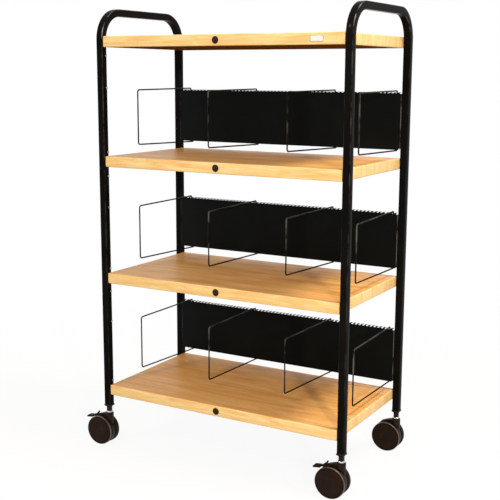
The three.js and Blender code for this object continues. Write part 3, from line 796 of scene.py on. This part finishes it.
hoodMeshes = {}
for braked, name in ((True, "caster_hood_braked"), (False, "caster_hood_plain")):
    hoodMeshes[braked] = mouldMesh(name, hoodParts(braked), casterHood)
for corner in corners:
    mesh = hoodMeshes[corner.startswith("front")].copy()
    mesh.transform(Matrix.Translation(axisOf[corner] * mm))
    addPiece("hood_shell_" + corner, mesh, [hoodNylon], "caster_" + corner, ["hood_" + corner],
             casterHood["sharp"])
    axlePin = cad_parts["axle_" + corner]
    axlePin.data.materials.clear()
    axlePin.data.materials.append(zincPlate)
print("hoods moulded")

# Wheels: nylon centre with a hub cap ring, and a polyurethane tread bonded round it
# profiles are radius and height; shoulder counts the bands of the tread that carry the painted highlight
casterWheel = {"sides": 84,
               "centre": [(0, 17.1), (7.6, 17.15), (8.4, 16.7), (9.2, 17.2), (26, 17.5), (43.4, 17.7), (44.6, 17.45),
                          (45.2, 16.6), (45.4, 15), (45.4, 2), (44.4, 0.9), (42.6, 0.8), (42.2, 3), (17, 3),
                          (16.6, 0.4), (15.8, 0.2), (6, 0.2), (5.2, 0.2), (5.2, 12.4), (0, 12.4)],
               "tread": [(45.5, 15), (45.6, 16.7), (46.3, 17.6), (47.4, 17.9), (48.7, 17.4), (49.7, 16.2),
                         (50.2, 14.4), (50.28, 12.5), (50.28, 5.5), (50.1, 3), (49.4, 1.3), (48.2, 0.4), (46.6, 0.2),
                         (45.7, 0.7), (45.5, 2), (45.5, 15)],
               "shoulder": (4, 5, 6)}
for corner in corners:
    for wheel, facing in (("fore", -1), ("aft", 1)):
        node = "wheel_%s_%s" % (corner, wheel)
        low, high = boxOf(node)
        inner = high.y if facing < 0 else low.y
        stand = Matrix.Translation(((low.x + high.x) / 2, inner, axleHeight)) @ Matrix.Rotation(
            -facing * quarterTurn, 4, "X")
        centre = turnProfile(casterWheel["centre"], casterWheel["sides"], stand)
        addPiece("wheel_centre_%s_%s" % (corner, wheel), makeMesh(node + "_centre", centre), [wheelNylon], node,
                 [node])
        tread = turnProfile(casterWheel["tread"], casterWheel["sides"], stand)
        # the shoulder bands take the pale painted highlight
        tread["finishOf"] = [int(row in casterWheel["shoulder"]) for row in range(len(casterWheel["tread"]) - 1)
                             for _ in range(casterWheel["sides"])]
        addPiece("wheel_tread_%s_%s" % (corner, wheel), makeMesh(node + "_tread", tread),
                 [treadRubber, shoulderHighlight], node)
print("wheels turned")

# Brake levers: broad pedal with grip ribs, a tongue through the lugs and a turned-up tail
# outlines are measured from the pivot
brakeLever = {"voxel": 0.6, "easing": 5, "ease": 0.5, "keep": 0.25, "sharp": 60, "pedalHalf": 10.9,
              "tongueHalf": 2.5, "pin": 2.6,
              "pedal": [(-13, -9.2), (-22, -9.9), (-30, -11.2), (-34, -11.9), (-36.7, -11), (-37.7, -8.9),
                        (-36.8, -6.7), (-33, -5.1), (-25, -4.1), (-17, -3.5), (-13, -3.5)],
              "tongue": [(-20, -9.2), (-10, -8), (0, -5), (5, 0), (11.4, 12.2), (11.2, 14.8), (7.8, 15.2), (3, 7.8),
                         (0, 5), (-10, -1), (-20, -3.6)],
              "ribs": [(-33, -5.1), (-29, -4.6), (-25, -4.1), (-21, -3.8)], "ribRadius": 1.3, "ribSink": 0.4,
              "ribHalf": 8.6, "pinHalf": 6.6, "pinSides": 32, "ribSides": 16}


def leverParts():
    look = brakeLever
    pedal, tongue = ([(pivotX + x, pivotZ + z) for x, z in look[name]] for name in ("pedal", "tongue"))
    parts = [(plate(pedal, -look["pedalHalf"], look["pedalHalf"]), []),
             (plate(tongue, -look["tongueHalf"], look["tongueHalf"]), []),
             (barAcross(pivotX, pivotZ, look["pin"], -look["pinHalf"], look["pinHalf"], look["pinSides"]), [])]
    for x, z in look["ribs"]:
        parts.append((barAcross(pivotX + x, pivotZ + z - look["ribSink"], look["ribRadius"], -look["ribHalf"],
                                look["ribHalf"], look["ribSides"]), []))
    return parts


leverMesh = mouldMesh("brake_pedal", leverParts(), brakeLever)
for corner in ("front_left", "front_right"):
    mesh = leverMesh.copy()
    mesh.transform(Matrix.Translation(axisOf[corner] * mm))
    addPiece("brake_pedal_" + corner, mesh, [hoodNylon], "brake_lever_" + corner,
             ["brake_lever_" + corner], brakeLever["sharp"])
for unused in (leverMesh, *hoodMeshes.values()):
    bpy.data.meshes.remove(unused)
print("levers moulded")

# Studio: white floor that keeps a faint shadow, white surround and soft fill; a low key lamp stands at the front
# right, a broad one hangs over the right side and a small one at the front left
studio = {"floorHalf": 15.0, "floorDrop": 0.0006, "floor": "#F4F3F1", "bounce": "#8C8A86", "glow": 1.0,
          "shadowShare": 0.08, "near": 0.7, "far": 2.6, "fill": 0.5, "fillColour": "#FFF8F0",
          "key": {"place": (4.57, -4.94, 2.29), "aim": (0.05, -0.05, 0.62), "power": 338, "size": 0.6,
                  "colour": "#FFF4E4", "glints": False},  # a low lamp would flash in the laminate from behind
          "side": {"place": (2.2, 0.2, 4.6), "aim": (0.1, 0.0, 0.7), "power": 152, "size": 1.3, "colour": "#FFF7EC",
                   "glints": True},
          "front": {"place": (-1.56, -4.0, 3.97), "aim": (0.0, 0.0, 0.8), "power": 66, "size": 0.45,
                    "colour": "#FFF8F0", "glints": True}}


def shownRays(tree):
    # 1 for a ray that shows the backdrop, straight on or by way of metal or glass
    rays = addNode(tree, "LightPath")
    direct = addNode(tree, "Math", {"operation": "MAXIMUM"},
                     {0: rays.outputs["Is Camera Ray"], 1: rays.outputs["Is Glossy Ray"]})
    shown = addNode(tree, "Math", {"operation": "MAXIMUM"},
                    {0: direct.outputs[0], 1: rays.outputs["Is Transmission Ray"]})
    return rays.outputs["Is Camera Ray"], shown.outputs[0]


floorMesh = bpy.data.meshes.new("studio_floor")
reach, drop = studio["floorHalf"], -studio["floorDrop"]
floorMesh.from_pydata([(-reach, -reach, drop), (reach, -reach, drop), (reach, reach, drop), (-reach, reach, drop)],
                      [], [(0, 1, 2, 3)])
floor = bpy.data.objects.new("studio_floor", floorMesh)
bpy.context.scene.collection.objects.link(floor)
# White seamless paper: it glows white to the eye and still takes the shadow near the rack
paper = bpy.data.materials.new("whiteSeamlessPaper")
paper.use_nodes = True
paperTree = paper.node_tree
paperTree.nodes.remove(paperTree.nodes["Principled BSDF"])
straightOn, shown = shownRays(paperTree)
spot = addNode(paperTree, "VectorMath", {"operation": "LENGTH"},
               {0: addNode(paperTree, "TexCoord").outputs["Object"]})
glowShare = addNode(paperTree, "MapRange", {"interpolation_type": "SMOOTHSTEP", 1: studio["near"], 2: studio["far"],
                                            3: 1 - studio["shadowShare"], 4: 1.0}, {0: spot.outputs["Value"]})
share = addNode(paperTree, "Math", {"operation": "MULTIPLY"}, {0: shown, 1: glowShare.outputs[0]})
matt = addNode(paperTree, "BsdfDiffuse", {"Color": linear(studio["floor"])})
dull = addNode(paperTree, "BsdfDiffuse", {"Color": linear(studio["bounce"])})  # keeps the undersides in shade
lit = addNode(paperTree, "MixShader", {}, {0: straightOn, 1: dull.outputs[0], 2: matt.outputs[0]})
glow = addNode(paperTree, "Emission", {"Strength": studio["glow"]})
blend = addNode(paperTree, "MixShader", {}, {0: share.outputs[0], 1: lit.outputs[0], 2: glow.outputs[0]})
paperTree.links.new(blend.outputs[0], paperTree.nodes["Material Output"].inputs["Surface"])
floorMesh.materials.append(paper)

world = bpy.data.worlds.new("studioSurround")
bpy.context.scene.world = world
world.use_nodes = True
skyTree = world.node_tree
_, shown = shownRays(skyTree)
soft = addNode(skyTree, "Background", {"Color": linear(studio["fillColour"]), "Strength": studio["fill"]})
white = addNode(skyTree, "Background", {"Color": grey(1.0), "Strength": studio["glow"]})
both = addNode(skyTree, "MixShader", {}, {0: shown, 1: soft.outputs[0], 2: white.outputs[0]})
skyTree.links.new(both.outputs[0], skyTree.nodes["World Output"].inputs["Surface"])

for name in ("key", "side", "front"):
    lampLook = studio[name]
    lampData = bpy.data.lights.new("lamp_" + name, "AREA")
    lampData.shape = "DISK"
    lampData.size = lampLook["size"]
    lampData.energy = lampLook["power"]
    lampData.color = linear(lampLook["colour"])[:3]
    lamp = bpy.data.objects.new("lamp_" + name, lampData)
    lamp.visible_glossy = lampLook["glints"]
    lamp.location = lampLook["place"]
    lamp.rotation_euler = (Vector(lampLook["aim"]) - Vector(lampLook["place"])).to_track_quat("-Z", "Y").to_euler()
    bpy.context.scene.collection.objects.link(lamp)

# Camera at chest height, in front of the rack and well to its right
viewpoint = {"place": (1.61700, -2.77324, 1.27063), "yaw": 29.859, "pitch": 10.280, "roll": 0.2407, "lens": 70.025,
             "sensor": 36}
yaw, pitch, roll = (math.radians(viewpoint[turn]) for turn in ("yaw", "pitch", "roll"))
ahead = Vector((-math.sin(yaw) * math.cos(pitch), math.cos(yaw) * math.cos(pitch), -math.sin(pitch)))
level = Vector((math.cos(yaw), math.sin(yaw), 0))
upward = level.cross(ahead)
rightward = level * math.cos(roll) + upward * math.sin(roll)
upward = rightward.cross(ahead)
cameraData = bpy.data.cameras.new("viewpoint")
cameraData.lens = viewpoint["lens"]
cameraData.sensor_width = viewpoint["sensor"]
camera = bpy.data.objects.new("viewpoint", cameraData)
bpy.context.scene.collection.objects.link(camera)
turnMatrix = Matrix((rightward, upward, -ahead)).transposed().to_4x4()
camera.matrix_world = Matrix.Translation(viewpoint["place"]) @ turnMatrix
bpy.context.scene.camera = camera
bpy.context.scene.view_settings.view_transform = "Standard"
print("studio lit")
